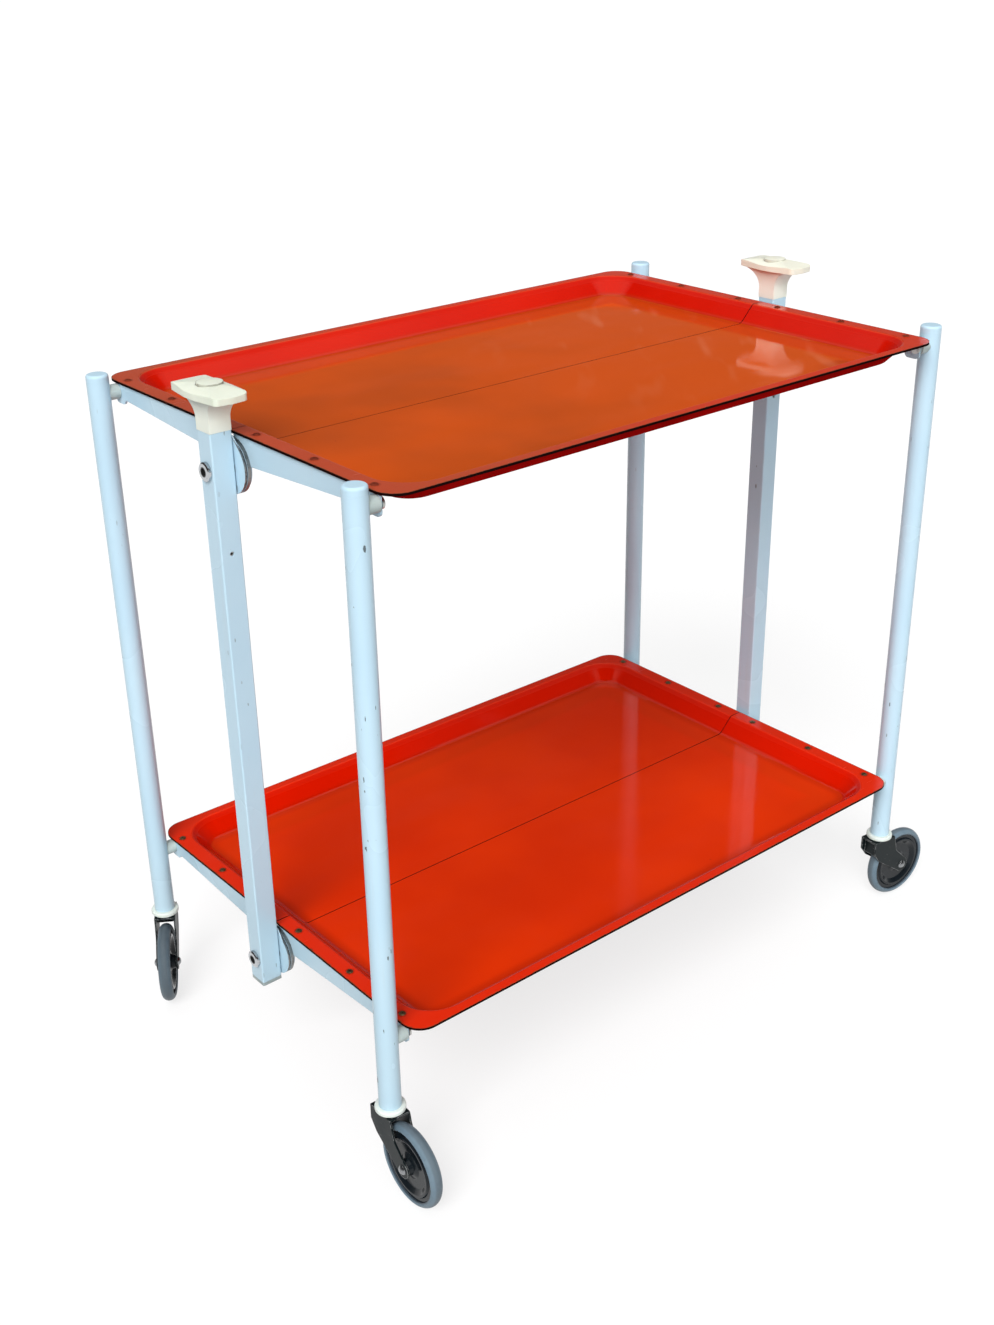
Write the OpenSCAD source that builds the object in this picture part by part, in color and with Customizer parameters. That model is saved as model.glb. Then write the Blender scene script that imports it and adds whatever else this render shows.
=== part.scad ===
// Folding two-tier serving trolley: two enamelled trays, each split along the middle, hang on
// tapered arms between two square posts and four tube legs on swivel casters.
// X runs along the trolley, Y across it and Z up. The origin is on the floor under its centre.
// "near" is the -Y half and "far" the +Y half; "left" is the -X end and "right" the +X end.

/* [Trays] */
// Length of a tray
tray_l = 644; // [580:1:720]
// Width of a tray across both halves
tray_w = 440; // [400:1:500]
// Height of the upper tray's rim above the floor
upper_rim_z = 650; // [630:1:700]
// Height from the lower tray's rim to the upper tray's rim
tier_gap = 483; // [440:1:495]
// Depth of the tray's floor below its rim
tray_depth = 17.5; // [14:0.5:19]
// Thickness of the tray sheet
tray_t = 2.2; // [1.6:0.1:2.6]
// Width of the flat rim at the short ends
rim_end = 14; // [13.6:0.1:16]
// Width of the flat rim along the long sides
rim_side = 8.5; // [6:0.5:14]
// Outer corner radius of the tray
corner_r = 20; // [16:1:36]
// Corner radius of the pan at the rim
pan_r = 39; // [30:1:60]
// Horizontal run of the pan's sloping wall
wall_run = 22; // [20:1:26]
// Radius of the bend from the rim down into the wall
rim_bend_r = 3; // [2.8:0.1:5]
// Radius of the bend from the wall into the floor
floor_bend_r = 8; // [6:0.5:9]
// Gap between the two halves of a tray
seam = 0.8; // [0.4:0.1:2]

/* [Arms] */
// Thickness of the arm sheet
arm_t = 2; // [1.5:0.1:2.2]
// Depth of an arm below the tray's underside at the post
arm_deep = 26.3; // [22:0.1:30]
// Depth of an arm below the tray's underside at the leg
arm_shallow = 13.5; // [11:0.1:16]
// Height of the arm's squared end at the leg
arm_end_h = 19; // [17:0.5:22]
// Length of the arm's squared end
arm_end_l = 17; // [14:0.5:22]
// Radius of the hinge disc at the post
hinge_r = 24; // [22:0.5:25]
// Depth of the post pivot below the rim
pivot_drop = 30.2; // [29.5:0.1:36]
// Depth of the leg pivot below the rim
leg_pivot_drop = 10.5; // [10.5:0.5:12]
// Distance of the outer arms' face in from the tray's short edge
arm_inset = 2; // [1.5:0.1:3]
// How much further in the inner arms' face is
arm_step = 0.4; // [0:0.1:1]
// Gap between the outer hinge plate and the post, with the spacer in it
post_play = 0.8; // [0.5:0.1:1.4]
// Gap between the two hinge plates at a post, with the shim in it
plate_gap = 1.2; // [0.6:0.1:1.4]
// Thickness of the outer hinge plate
plate_t = 1.6; // [1.2:0.1:2]
// How far the outer hinge plate runs along its arm
plate_run = 45; // [36:1:70]
// Places of the rivets, measured out from the seam
rivet_places = [27, 110, 189];
// Distance of the rivets in from the tray's short edge
rivet_inset = 8.2; // [8:0.1:9.4]
// Diameter of a rivet's shank
rivet_d = 3.2; // [2.8:0.1:3.4]
// Diameter of a rivet's head
rivet_head_d = 6.5; // [5:0.1:7]

/* [Posts] */
// Width of the square post
post_w = 20.5; // [19:0.1:24]
// Wall of the post
post_wall = 1.5; // [1.2:0.1:1.7]
// Gap from the tray's short edge to the post
post_gap = 4.5; // [3.5:0.1:7]
// How far the post stands above the upper rim
post_rise = 3; // [2:0.5:10]
// Length of post below the lower pivot, with its end cap
post_tail = 27; // [22:0.5:32]
// Thickness of the post's end cap
foot_cap_t = 3.5; // [2:0.5:6]
// Diameter of the pivot bolts
bolt_d = 8; // [7:0.5:9]
// Diameter of the bolt heads
bolt_head_d = 16.5; // [13:0.5:18]
// Height of the bolt heads
bolt_head_t = 3.5; // [3:0.1:5]
// Depth of the roll pin below the upper pivot
roll_pin_drop = 72; // [68:1:90]
// Diameter of the roll pin
roll_pin_d = 4; // [3:0.1:5]

/* [Handles] */
// Height of a handle above the post
handle_h = 39; // [36:0.5:46]
// Length of the handle's grip plate across the trolley
grip_l = 75; // [66:1:90]
// Width of the grip plate at its middle
grip_w = 38; // [36:0.5:44]
// Width of the grip plate at its ends
grip_end_w = 30; // [24:0.5:34]
// How far the grip plate sits out from the middle of the post
grip_out = 1.5; // [0:0.1:3]
// Thickness of the grip plate at its middle
grip_t = 9.5; // [8.5:0.5:11]
// Radius of the stem's flare across the trolley, up to the grip plate
flare_r = 20; // [16:0.5:22]
// Radius of the stem's flare along the trolley
side_flare_r = 46; // [40:1:60]
// Diameter of the release button
button_d = 22; // [19:0.5:24]
// Thickness of the release button
button_t = 6.5; // [5:0.5:8]
// How far the button stands above the grip plate
button_proud = 1.5; // [0.5:0.1:3]
// Travel of the release button
button_travel = 6; // [4:0.5:6]
// Width of the latch bar
latch_w = 14; // [13:0.1:14.4]
// Thickness of the latch bar
latch_t = 3; // [2:0.1:4]
// Diameter of the latch tooth
tooth_d = 3.2; // [2.6:0.1:3.6]

/* [Legs] */
// Diameter of the leg tube
leg_d = 20.4; // [19:0.1:24]
// Wall of the leg tube
leg_wall = 1.5; // [1.2:0.1:1.8]
// Gap from the tray's short edge to the leg
leg_gap = 6.3; // [5:0.1:10]
// Distance of the leg's centre in from the tray's long edge
leg_inset = 21; // [19:0.5:24]
// How far the legs stand above the upper rim
leg_rise = 8.8; // [4:0.1:12]
// Height of the leg's top cap
leg_cap_h = 7; // [6:0.5:8]
// Diameter of the leg pins
leg_pin_d = 6; // [5:0.1:7]
// Diameter of the plastic bushes between legs and arms
bush_d = 14; // [12:0.5:15]

/* [Casters] */
// Diameter of a wheel
wheel_d = 80; // [70:1:84]
// Width of a tyre
tyre_w = 13.5; // [12:0.5:16]
// Height of a tyre above the hub that it sits on
tyre_h = 6.5; // [5:0.5:10]
// Distance of the wheel's axle behind the swivel axis
trail = 30; // [28:0.5:36]
// Outer width of the fork
fork_w = 21.6; // [21.4:0.1:26]
// Thickness of the fork sheet
fork_t = 1.8; // [1.4:0.1:2.2]
// Length of the fork's top behind the swivel axis
fork_back = 16; // [14:0.5:20]
// Length of the fork's top ahead of the swivel axis
fork_front = 14; // [12:0.5:18]
// Diameter of the wheel axle
axle_d = 6; // [5:0.1:8]
// Diameter of the swivel pin
king_d = 8; // [7:0.1:9]
// Length of the swivel pin above the fork
king_l = 40; // [30:1:44]
// Diameter of the white collar at the foot of the leg
collar_d = 28; // [25:0.5:32]
// Height of the white collar
collar_h = 5; // [4:0.5:8]
// Direction of the trailing wheel at the near left leg, in degrees from +X
near_left_swing = -91.5; // [-110:0.5:-70]
// Direction of the trailing wheel at the far left leg
far_left_swing = -123; // [-140:1:-110]
// Direction of the trailing wheel at the near right leg
near_right_swing = -5; // [-30:0.5:10]
// Direction of the trailing wheel at the far right leg
far_right_swing = 90; // [70:1:110]

/* [Hidden] */

$fn = 64;
fit = 0.05;        // radial clearance of a turning fit
slip = 0.3;        // radial clearance of parts that slide past each other
face_gap = 0.1;    // gap between flat faces that turn past each other
open_gap = 0.4;    // radial clearance of the lower arms on the leg pins, where the linkage is open
eps = 0.01;

lower_rim_z = upper_rim_z - tier_gap;
tray_x = tray_l / 2;
tray_y = tray_w / 2;
pan_x = tray_x - rim_end;
pan_y = tray_y - rim_side;

// The arms stand in layers under the rim, measured as distances from the middle of the trolley.
shelf_in = pan_x + 1;                   // inner edge of an arm's shelf under the rim
web_out = tray_x - arm_inset;           // outer face of an outer arm's web
web_in = web_out - arm_step;            // outer face of an inner arm's web
post_x = tray_x + post_gap + post_w / 2;
post_face = tray_x + post_gap;
plate_out = post_face - post_play;      // outer face of an outer arm's hinge plate
plate_in = plate_out - plate_t;         // inner face of an outer arm's hinge plate
disc_out = plate_in - plate_gap;        // outer face of an inner arm's hinge disc

post_inner = post_w - 2 * post_wall;
post_top = upper_rim_z + post_rise;
post_bottom = lower_rim_z - pivot_drop - post_tail;
upper_pivot_z = upper_rim_z - pivot_drop;
lower_pivot_z = lower_rim_z - pivot_drop;
nut_t = 5;
nut_d = 13;

latch_z = upper_pivot_z - hinge_r + tooth_d / 2 - 0.5;
latch_end = upper_pivot_z - hinge_r - 20;
roll_pin_z = upper_pivot_z - roll_pin_drop;

grip_top = post_top + handle_h;
button_bottom = grip_top + button_proud - button_t;
button_bore = button_d + 2 * slip;

leg_x = tray_x + leg_gap + leg_d / 2;
leg_y = tray_y - leg_inset;
leg_top = upper_rim_z + leg_rise;
leg_bore = leg_d - 2 * leg_wall;

wheel_r = wheel_d / 2;
hub_d = wheel_d - 2 * tyre_h;
fork_top = wheel_d + 2.8;
collar_z = fork_top + slip;
leg_bottom = collar_z + collar_h;
socket_l = 40;
head_t = 2;

white = [0.80, 0.89, 0.95];
cream = [0.88, 0.90, 0.83];
enamel = [0.86, 0.20, 0.05];
grey = [0.62, 0.66, 0.66];
chrome = [0.78, 0.79, 0.80];
steel = [0.55, 0.55, 0.53];
black = [0.05, 0.05, 0.06];
fork_dark = [0.17, 0.20, 0.21];
hub_dark = [0.12, 0.14, 0.16];
rubber = [0.42, 0.52, 0.59];

// ---------- helpers ----------

// Mirrors its children to the side that each sign names: -1 is left or near, 1 is right or far.
module to_side(sx, sy) {
    if (sx < 0 && sy < 0) rotate([0, 0, 180]) children();
    else if (sx < 0) mirror([1, 0, 0]) children();
    else if (sy < 0) mirror([0, 1, 0]) children();
    else children();
}

// A rod along X from x0 to x1.
module rod_x(x0, x1, d) translate([x0, 0, 0]) rotate([0, 90, 0]) cylinder(d = d, h = x1 - x0);

// A rod along Y from y0 to y1.
module rod_y(y0, y1, d) translate([0, y0, 0]) rotate([-90, 0, 0]) cylinder(d = d, h = y1 - y0);

// Extrudes an outline drawn in Y and Z along X, from x0 to x1.
module slab_x(x0, x1) translate([x0, 0, 0]) rotate([90, 0, 90]) linear_extrude(x1 - x0) children();

// Extrudes an outline drawn in X and Z along Y, from y0 to y1.
module slab_y(y0, y1) translate([0, y1, 0]) rotate([90, 0, 0]) linear_extrude(y1 - y0) children();

module rounded_rect(l, w, r) {
    square([l, w - 2 * r], center = true);
    square([l - 2 * r, w], center = true);
    for (x = [-1, 1], y = [-1, 1]) translate([x * (l / 2 - r), y * (w / 2 - r)]) circle(r);
}

// Points of an arc about c from angle a0 to a1.
function arc(c, r, a0, a1, n) =
    [for (i = [0:n]) c + r * [cos(a0 + (a1 - a0) * i / n), sin(a0 + (a1 - a0) * i / n)]];

// An outline with each corner rounded: corners is a list of [x, y, radius], anticlockwise.
function rounded_outline(corners, n = 6) = [
    for (i = [0:len(corners) - 1])
        let (
            k = len(corners),
            p = [corners[i][0], corners[i][1]],
            a = [corners[(i + k - 1) % k][0], corners[(i + k - 1) % k][1]] - p,
            b = [corners[(i + 1) % k][0], corners[(i + 1) % k][1]] - p,
            u = a / norm(a),
            v = b / norm(b),
            half = acos(u * v) / 2,
            r = corners[i][2],
            c = p + (u + v) / norm(u + v) * r / sin(half),
            s = p + u * r / tan(half) - c,
            a0 = atan2(s[1], s[0])
        )
        each arc(c, r, a0, a0 + 180 - 2 * half, n)
];

// ---------- trays ----------

// Slope of the pan's wall, so that it is tangent to both bends.
bends = rim_bend_r + floor_bend_r;
wall_slope = atan2(tray_depth - bends, wall_run)
    + asin(bends / norm([wall_run, tray_depth - bends]));

// Section of the pan's wall: distance in from the pan's edge, and height from the rim.
function wall_section() = concat(
    [[-1, 0]],
    arc([0, -rim_bend_r], rim_bend_r, 90, 90 - wall_slope, 6),
    arc([wall_run, floor_bend_r - tray_depth], floor_bend_r, -90 - wall_slope, -90, 8),
    [[wall_run + 1, -tray_depth], [wall_run + 1, -tray_depth - tray_t]],
    arc([wall_run, floor_bend_r - tray_depth], floor_bend_r + tray_t, -90, -90 - wall_slope, 8),
    arc([0, -rim_bend_r], rim_bend_r - tray_t, 90 - wall_slope, 90, 6),
    [[-1, -tray_t]]
);

// One half of a tray, on the +Y side, with its rim at z = 0.
module tray_half() {
    section = wall_section();
    straight_x = pan_x - pan_r;
    straight_y = pan_y - pan_r;
    difference() {
        union() {
            translate([0, 0, -tray_t]) linear_extrude(tray_t) difference() {
                intersection() {
                    rounded_rect(tray_l, tray_w, corner_r);
                    translate([-tray_x, seam / 2]) square([tray_l, tray_w]);
                }
                rounded_rect(2 * pan_x, 2 * pan_y, pan_r);
            }
            translate([0, 0, -tray_depth - tray_t]) linear_extrude(tray_t) intersection() {
                rounded_rect(2 * (pan_x - wall_run), 2 * (pan_y - wall_run), pan_r - wall_run);
                translate([-tray_x, seam / 2]) square([tray_l, tray_w]);
            }
            slab_x(-straight_x, straight_x) polygon([for (p = section) [pan_y - p[0], p[1]]]);
            for (side = [-1, 1]) to_side(side, 1) {
                slab_y(seam / 2, straight_y) polygon([for (p = section) [pan_x - p[0], p[1]]]);
                translate([straight_x, straight_y, 0]) rotate_extrude(angle = 90)
                    polygon([for (p = section) [pan_r - p[0], p[1]]]);
            }
        }
        for (side = [-1, 1], y = rivet_places)
            translate([side * (tray_x - rivet_inset), y, -tray_t - 1])
                cylinder(d = rivet_d + 2 * fit, h = tray_t + 2);
    }
}

module tray(rim_z, sy) color(enamel) translate([0, 0, rim_z]) to_side(1, sy) tray_half();

module upper_near_tray() tray(upper_rim_z, -1);
module upper_far_tray() tray(upper_rim_z, 1);
module lower_near_tray() tray(lower_rim_z, -1);
module lower_far_tray() tray(lower_rim_z, 1);

// A hollow rivet through the rim and the arm's shelf, at z = 0 on the rim.
module rivet() {
    tail_t = 1.8;
    difference() {
        union() {
            cylinder(d1 = rivet_head_d, d2 = rivet_head_d - 1.6, h = 1);
            translate([0, 0, -tray_t - arm_t - tail_t / 2])
                cylinder(d = rivet_d, h = tray_t + arm_t + tail_t / 2 + 0.5);
            translate([0, 0, -tray_t - arm_t - tail_t]) cylinder(d = rivet_d + 1.6, h = tail_t);
        }
        translate([0, 0, -0.8]) cylinder(d = rivet_d / 2, h = 3);
    }
}

module rivets(rim_z, sy) color(steel)
    for (side = [-1, 1], y = rivet_places)
        translate([side * (tray_x - rivet_inset), sy * y, rim_z]) rivet();

module upper_near_rivets() rivets(upper_rim_z, -1);
module upper_far_rivets() rivets(upper_rim_z, 1);
module lower_near_rivets() rivets(lower_rim_z, -1);
module lower_far_rivets() rivets(lower_rim_z, 1);

// ---------- arms ----------

arm_top = -tray_t;
function arm_edge(y) = arm_top - arm_deep + (arm_deep - arm_shallow) * y / leg_y;

// Outline of an arm's web from y0 outwards, in Y and Z from the rim.
module web_outline(y0) {
    polygon([
        [y0, arm_top], [leg_y, arm_top],
        [leg_y, arm_edge(leg_y)], [y0, arm_edge(y0)]
    ]);
    translate([leg_y + 4 - arm_end_l / 2, arm_top - arm_end_h / 2])
        rounded_rect(arm_end_l, arm_end_h, 4.5);
}

// The hinge disc about the post pivot, with the notch that the latch tooth drops into.
module hinge_disc() difference() {
    translate([0, -pivot_drop]) circle(hinge_r);
    translate([-tooth_d / 2 - slip, -pivot_drop - hinge_r - 1])
        square([tooth_d + 2 * slip, tooth_d + 1.5]);
}

// Shelf of the arm under the rim, riveted to it.
module arm_shelf(x1) translate([shelf_in, seam / 2, arm_top - arm_t])
    cube([x1 - shelf_in, leg_y - seam / 2, arm_t]);

// The outer hinge plate: the disc, drawn out to a corner past the middle and along the arm.
plate_top = arm_top - 0.7;
module hinge_plate() {
    corner_y = -7;
    tangent = 45;
    hinge_disc();
    polygon([
        [corner_y, plate_top], [plate_run, plate_top],
        [plate_run, arm_edge(plate_run)], [hinge_r / 2, arm_edge(0)],
        [-hinge_r * sin(tangent), hinge_r * cos(tangent) - pivot_drop]
    ]);
}

// An arm on the +X, +Y side with the rim at z = 0. An inner arm ends in the hinge disc itself;
// an outer arm has a hinge plate on packing outside it. pin_gap is the leg pin's clearance.
module arm_body(outer, pin_gap) {
    x1 = outer ? web_out : web_in;
    disc_clear = hinge_r + 3;
    difference() {
        union() {
            arm_shelf(x1);
            slab_x(x1 - arm_t, x1) web_outline(outer ? disc_clear : seam / 2);
            if (outer) {
                slab_x(plate_in, plate_out) hinge_plate();
                slab_x(web_out, plate_in) intersection() {
                    hinge_plate();
                    translate([disc_clear, -tray_depth * 3]) square(tray_depth * 3);
                }
            } else {
                slab_x(x1 - arm_t, x1) intersection() {
                    hinge_disc();
                    translate([0, -pivot_drop]) circle(hinge_r - 2);
                }
                slab_x(x1, disc_out) hinge_disc();
            }
        }
        translate([0, leg_y, -leg_pivot_drop]) rod_x(x1 - 2 * arm_t, x1 + 1, leg_pin_d + 2 * pin_gap);
        translate([0, 0, -pivot_drop]) rod_x(x1 - 2 * arm_t, plate_out + 1, bolt_d + 2 * fit);
        for (y = rivet_places)
            translate([tray_x - rivet_inset, y, arm_top - arm_t - 1])
                cylinder(d = rivet_d + 2 * fit, h = arm_t + 2);
    }
}

// The left near and right far arms are inner arms; the other two are outer arms.
function is_outer(sx, sy) = sx != sy;

module arm(rim_z, sx, sy, pin_gap) color(white) translate([0, 0, rim_z])
    to_side(sx, sy) arm_body(is_outer(sx, sy), pin_gap);

module upper_near_left_arm() arm(upper_rim_z, -1, -1, fit);
module upper_near_right_arm() arm(upper_rim_z, 1, -1, fit);
module upper_far_left_arm() arm(upper_rim_z, -1, 1, fit);
module upper_far_right_arm() arm(upper_rim_z, 1, 1, fit);
module lower_near_left_arm() arm(lower_rim_z, -1, -1, open_gap);
module lower_near_right_arm() arm(lower_rim_z, 1, -1, open_gap);
module lower_far_left_arm() arm(lower_rim_z, -1, 1, open_gap);
module lower_far_right_arm() arm(lower_rim_z, 1, 1, open_gap);

// ---------- posts ----------

module post_body() difference() {
    translate([post_x, 0, post_bottom + foot_cap_t])
        linear_extrude(post_top - post_bottom - foot_cap_t) difference() {
            rounded_rect(post_w, post_w, 1.4);
            square(post_inner, center = true);
        }
    for (z = [upper_pivot_z, lower_pivot_z])
        translate([0, 0, z]) rod_x(post_face - 1, post_face + post_w + 1, bolt_d + 2 * fit);
    translate([post_x, 0, roll_pin_z]) rod_y(-post_w, post_w, roll_pin_d + 2 * fit);
    // slot in the inner wall for the latch tooth
    for (z = [latch_z, latch_z - button_travel])
        translate([0, 0, z]) rod_x(post_face - 1, post_x, tooth_d + 2 * slip);
    translate([post_face - 1, -tooth_d / 2 - slip, latch_z - button_travel])
        cube([post_wall + 2, tooth_d + 2 * slip, button_travel]);
}

module left_post() color(white) to_side(-1, 1) post_body();
module right_post() color(white) post_body();

module post_end_caps() color(grey) for (side = [-1, 1]) translate([side * post_x, 0, post_bottom]) {
    linear_extrude(foot_cap_t) rounded_rect(post_w, post_w, 1.4);
    translate([0, 0, foot_cap_t]) linear_extrude(8) square(post_inner - 2 * fit, center = true);
}

// Places its children at the four post pivots, on the +X side or mirrored to the left.
module at_pivots() for (side = [-1, 1], z = [upper_pivot_z, lower_pivot_z])
    to_side(side, 1) translate([0, 0, z]) children();

nut_x = web_in - arm_t - face_gap;

module pivot_bolts() color(chrome) at_pivots() difference() {
    socket_d = 7;
    union() {
        rod_x(nut_x - nut_t - 1, post_face + post_w + eps, bolt_d);
        translate([post_face + post_w, 0, 0]) rotate([0, 90, 0]) {
            cylinder(d = bolt_head_d, h = bolt_head_t - 1);
            translate([0, 0, bolt_head_t - 1])
                cylinder(d1 = bolt_head_d, d2 = bolt_head_d - 2.4, h = 1);
        }
    }
    translate([post_face + post_w + 0.8, 0, 0]) rotate([0, 90, 0])
        cylinder(d = socket_d, h = bolt_head_t, $fn = 6);
}

module pivot_nuts() color(steel) at_pivots() translate([nut_x - nut_t, 0, 0]) rotate([0, 90, 0])
    difference() {
        cylinder(d = nut_d / cos(30), h = nut_t, $fn = 6);
        translate([0, 0, -1]) cylinder(d = bolt_d + 2 * fit, h = nut_t + 2);
    }

// A spacer between post and hinge plate, and a thin shim between the two hinge plates.
module pivot_washers() color(black) at_pivots() {
    spacer_d = 18;
    shim_d = 2 * hinge_r - 1;
    difference() {
        rod_x(plate_out + face_gap, post_face, spacer_d);
        rod_x(plate_out - 1, post_face + 1, bolt_d + 2 * fit);
    }
    difference() {
        rod_x(disc_out + face_gap, plate_in - face_gap, shim_d);
        rod_x(disc_out - 1, plate_in + 1, bolt_d + 2 * fit);
    }
}

module roll_pins() color(steel) for (side = [-1, 1]) translate([side * post_x, 0, roll_pin_z])
    difference() {
        rod_y(1 - post_w / 2, post_w / 2 - 1, roll_pin_d);
        rod_y(-post_w, post_w, roll_pin_d - 1.6);
    }

// ---------- handles and latches ----------

grip_under = handle_h - grip_t;   // underside of the grip plate above the post

// The stem seen from one side: flaring with radius r from height h0 up to the grip plate.
module stem(r, h0) difference() {
    out = r - sqrt(pow(r, 2) - pow(grip_under - h0, 2));
    translate([-post_w / 2 - out, 0]) square([post_w + 2 * out, grip_under + eps]);
    for (side = [-1, 1]) translate([side * (post_w / 2 + r), h0]) {
        circle(r, $fn = 128);
        translate([-r, -h0 - 1]) square([2 * r, h0 + 1]);
    }
}

// Section of the grip plate: flat below, with upright edges and a domed top.
module plate_section(w, dome_r) intersection() {
    translate([-w / 2, grip_under]) square([w, grip_t]);
    translate([0, handle_h - dome_r]) circle(dome_r, $fn = 256);
}

// Sections of the handle across the trolley and along it: stem, flare and grip plate.
flare_start = grip_under - flare_r + 0.5;
module handle_front() {
    stem(flare_r, flare_start);
    plate_section(grip_l, 165);
}

module handle_side() {
    stem(side_flare_r, flare_start);
    translate([grip_out, 0]) plate_section(grip_w, 45);
}

// Outline of the grip plate seen from above.
module grip_outline() polygon(rounded_outline([
    [grip_w / 2, -grip_w / 6, 30], [grip_w / 2, grip_w / 6, 30],
    [grip_end_w / 2, grip_l / 2 - 2, 5], [0, grip_l / 2, 30], [-grip_end_w / 2, grip_l / 2 - 2, 5],
    [-grip_w / 2, grip_w / 6, 30], [-grip_w / 2, -grip_w / 6, 30],
    [-grip_end_w / 2, 2 - grip_l / 2, 5], [0, -grip_l / 2, 30], [grip_end_w / 2, 2 - grip_l / 2, 5]
]));

module handle_body() translate([post_x, 0, post_top]) difference() {
    spigot = 12;
    union() {
        intersection() {
            slab_x(-grip_w, grip_w) handle_front();
            slab_y(-grip_l, grip_l) handle_side();
            translate([grip_out, 0, 0]) linear_extrude(handle_h + 1) grip_outline();
        }
        translate([0, 0, -spigot]) linear_extrude(spigot + 1)
            square(post_inner - 2 * fit, center = true);
    }
    translate([0, 0, button_bottom - post_top - button_travel - 0.5])
        cylinder(d = button_bore, h = button_t + button_travel + 1);
    translate([-latch_t / 2 - slip, -latch_w / 2 - slip, -spigot - 1])
        cube([latch_t + 2 * slip, latch_w + 2 * slip, handle_h + spigot]);
}

module left_handle() color(cream) to_side(-1, 1) handle_body();
module right_handle() color(cream) handle_body();

module button_body() translate([post_x, 0, button_bottom]) intersection() {
    cylinder(d = button_d, h = button_t);
    translate([0, 0, button_t - 90]) sphere(90, $fn = 128);
}

module left_button() color(cream) to_side(-1, 1) button_body();
module right_button() color(cream) button_body();

// A flat bar from the button down past the bolt, with the tooth that locks the hinge plates.
module latch_bar_body() {
    difference() {
        translate([post_x - latch_t / 2, -latch_w / 2, latch_end])
            cube([latch_t, latch_w, button_bottom - latch_end]);
        translate([0, 0, upper_pivot_z])
            rod_x(post_x - latch_t, post_x + latch_t, bolt_d + 2 * slip);
        translate([0, 0, upper_pivot_z + button_travel])
            rod_x(post_x - latch_t, post_x + latch_t, bolt_d + 2 * slip);
        translate([post_x - latch_t, -bolt_d / 2 - slip, upper_pivot_z])
            cube([2 * latch_t, bolt_d + 2 * slip, button_travel]);
    }
    translate([0, 0, latch_z]) rod_x(plate_out + 0.5, post_x, tooth_d);
}

module left_latch_bar() color(steel) to_side(-1, 1) latch_bar_body();
module right_latch_bar() color(steel) latch_bar_body();

// The spring that lifts the latch bar, as the plain sleeve that its coils fill.
module spring_body() translate([post_x, 0, roll_pin_z + roll_pin_d / 2]) difference() {
    spring_h = latch_end - roll_pin_z - roll_pin_d / 2;
    cylinder(d = 9, h = spring_h);
    translate([0, 0, -1]) cylinder(d = 6.6, h = spring_h + 2);
}

module left_spring() color(steel) to_side(-1, 1) spring_body();
module right_spring() color(steel) spring_body();

// ---------- legs ----------

module leg_body() translate([leg_x, leg_y, 0]) difference() {
    translate([0, 0, leg_bottom]) cylinder(d = leg_d, h = leg_top - leg_cap_h - leg_bottom);
    translate([0, 0, leg_bottom - 1]) cylinder(d = leg_bore, h = leg_top);
    for (rim = [upper_rim_z, lower_rim_z])
        translate([0, 0, rim - leg_pivot_drop]) rod_x(-leg_d, 0, leg_pin_d);
}

module near_left_leg() color(white) to_side(-1, -1) leg_body();
module near_right_leg() color(white) to_side(1, -1) leg_body();
module far_left_leg() color(white) to_side(-1, 1) leg_body();
module far_right_leg() color(white) to_side(1, 1) leg_body();

// Cap in the top of a leg: a short rounded head over a plug.
module leg_cap() translate([leg_x, leg_y, leg_top - leg_cap_h]) {
    edge_r = 2.5;
    plug_l = 5;
    rotate_extrude() polygon(concat(
        [[0, 0], [leg_d / 2, 0]],
        arc([leg_d / 2 - edge_r, leg_cap_h - edge_r], edge_r, 0, 90, 6),
        [[0, leg_cap_h]]
    ));
    translate([0, 0, -plug_l]) cylinder(d = leg_bore - 2 * fit, h = plug_l + eps);
}

module near_leg_caps() color(white) for (side = [-1, 1]) to_side(side, -1) leg_cap();
module far_leg_caps() color(white) for (side = [-1, 1]) to_side(side, 1) leg_cap();

// Places its children at both leg pivots of a leg; children(0) is for an inner arm there,
// children(1) for an outer arm.
module at_leg_pivots(sy) for (sx = [-1, 1], rim = [upper_rim_z, lower_rim_z])
    to_side(sx, sy) translate([0, leg_y, rim - leg_pivot_drop])
        if (is_outer(sx, sy)) children(1);
        else children(0);

// A pin from inside the leg to the head behind an arm whose web's outer face is at x1.
module leg_pin(x1) {
    head_x = x1 - arm_t - face_gap - head_t;
    rod_x(head_x + eps, leg_x + leg_d / 4, leg_pin_d);
    rod_x(head_x, head_x + head_t, leg_pin_d + 4.4);
}

module near_leg_pins() color(steel) at_leg_pivots(-1) {
    leg_pin(web_in);
    leg_pin(web_out);
}

module far_leg_pins() color(steel) at_leg_pivots(1) {
    leg_pin(web_in);
    leg_pin(web_out);
}

// A plastic bush between leg and arm, its end hollowed to sit on the round tube.
module leg_bush(x1) difference() {
    rod_x(x1 + face_gap, leg_x - leg_d / 4, bush_d);
    rod_x(x1 - 1, leg_x, leg_pin_d + 2 * fit);
    translate([leg_x, 0, -bush_d]) cylinder(d = leg_d, h = 2 * bush_d);
}

module near_leg_bushes() color(grey) at_leg_pivots(-1) {
    leg_bush(web_in);
    leg_bush(web_out);
}

module far_leg_bushes() color(grey) at_leg_pivots(1) {
    leg_bush(web_in);
    leg_bush(web_out);
}

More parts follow.
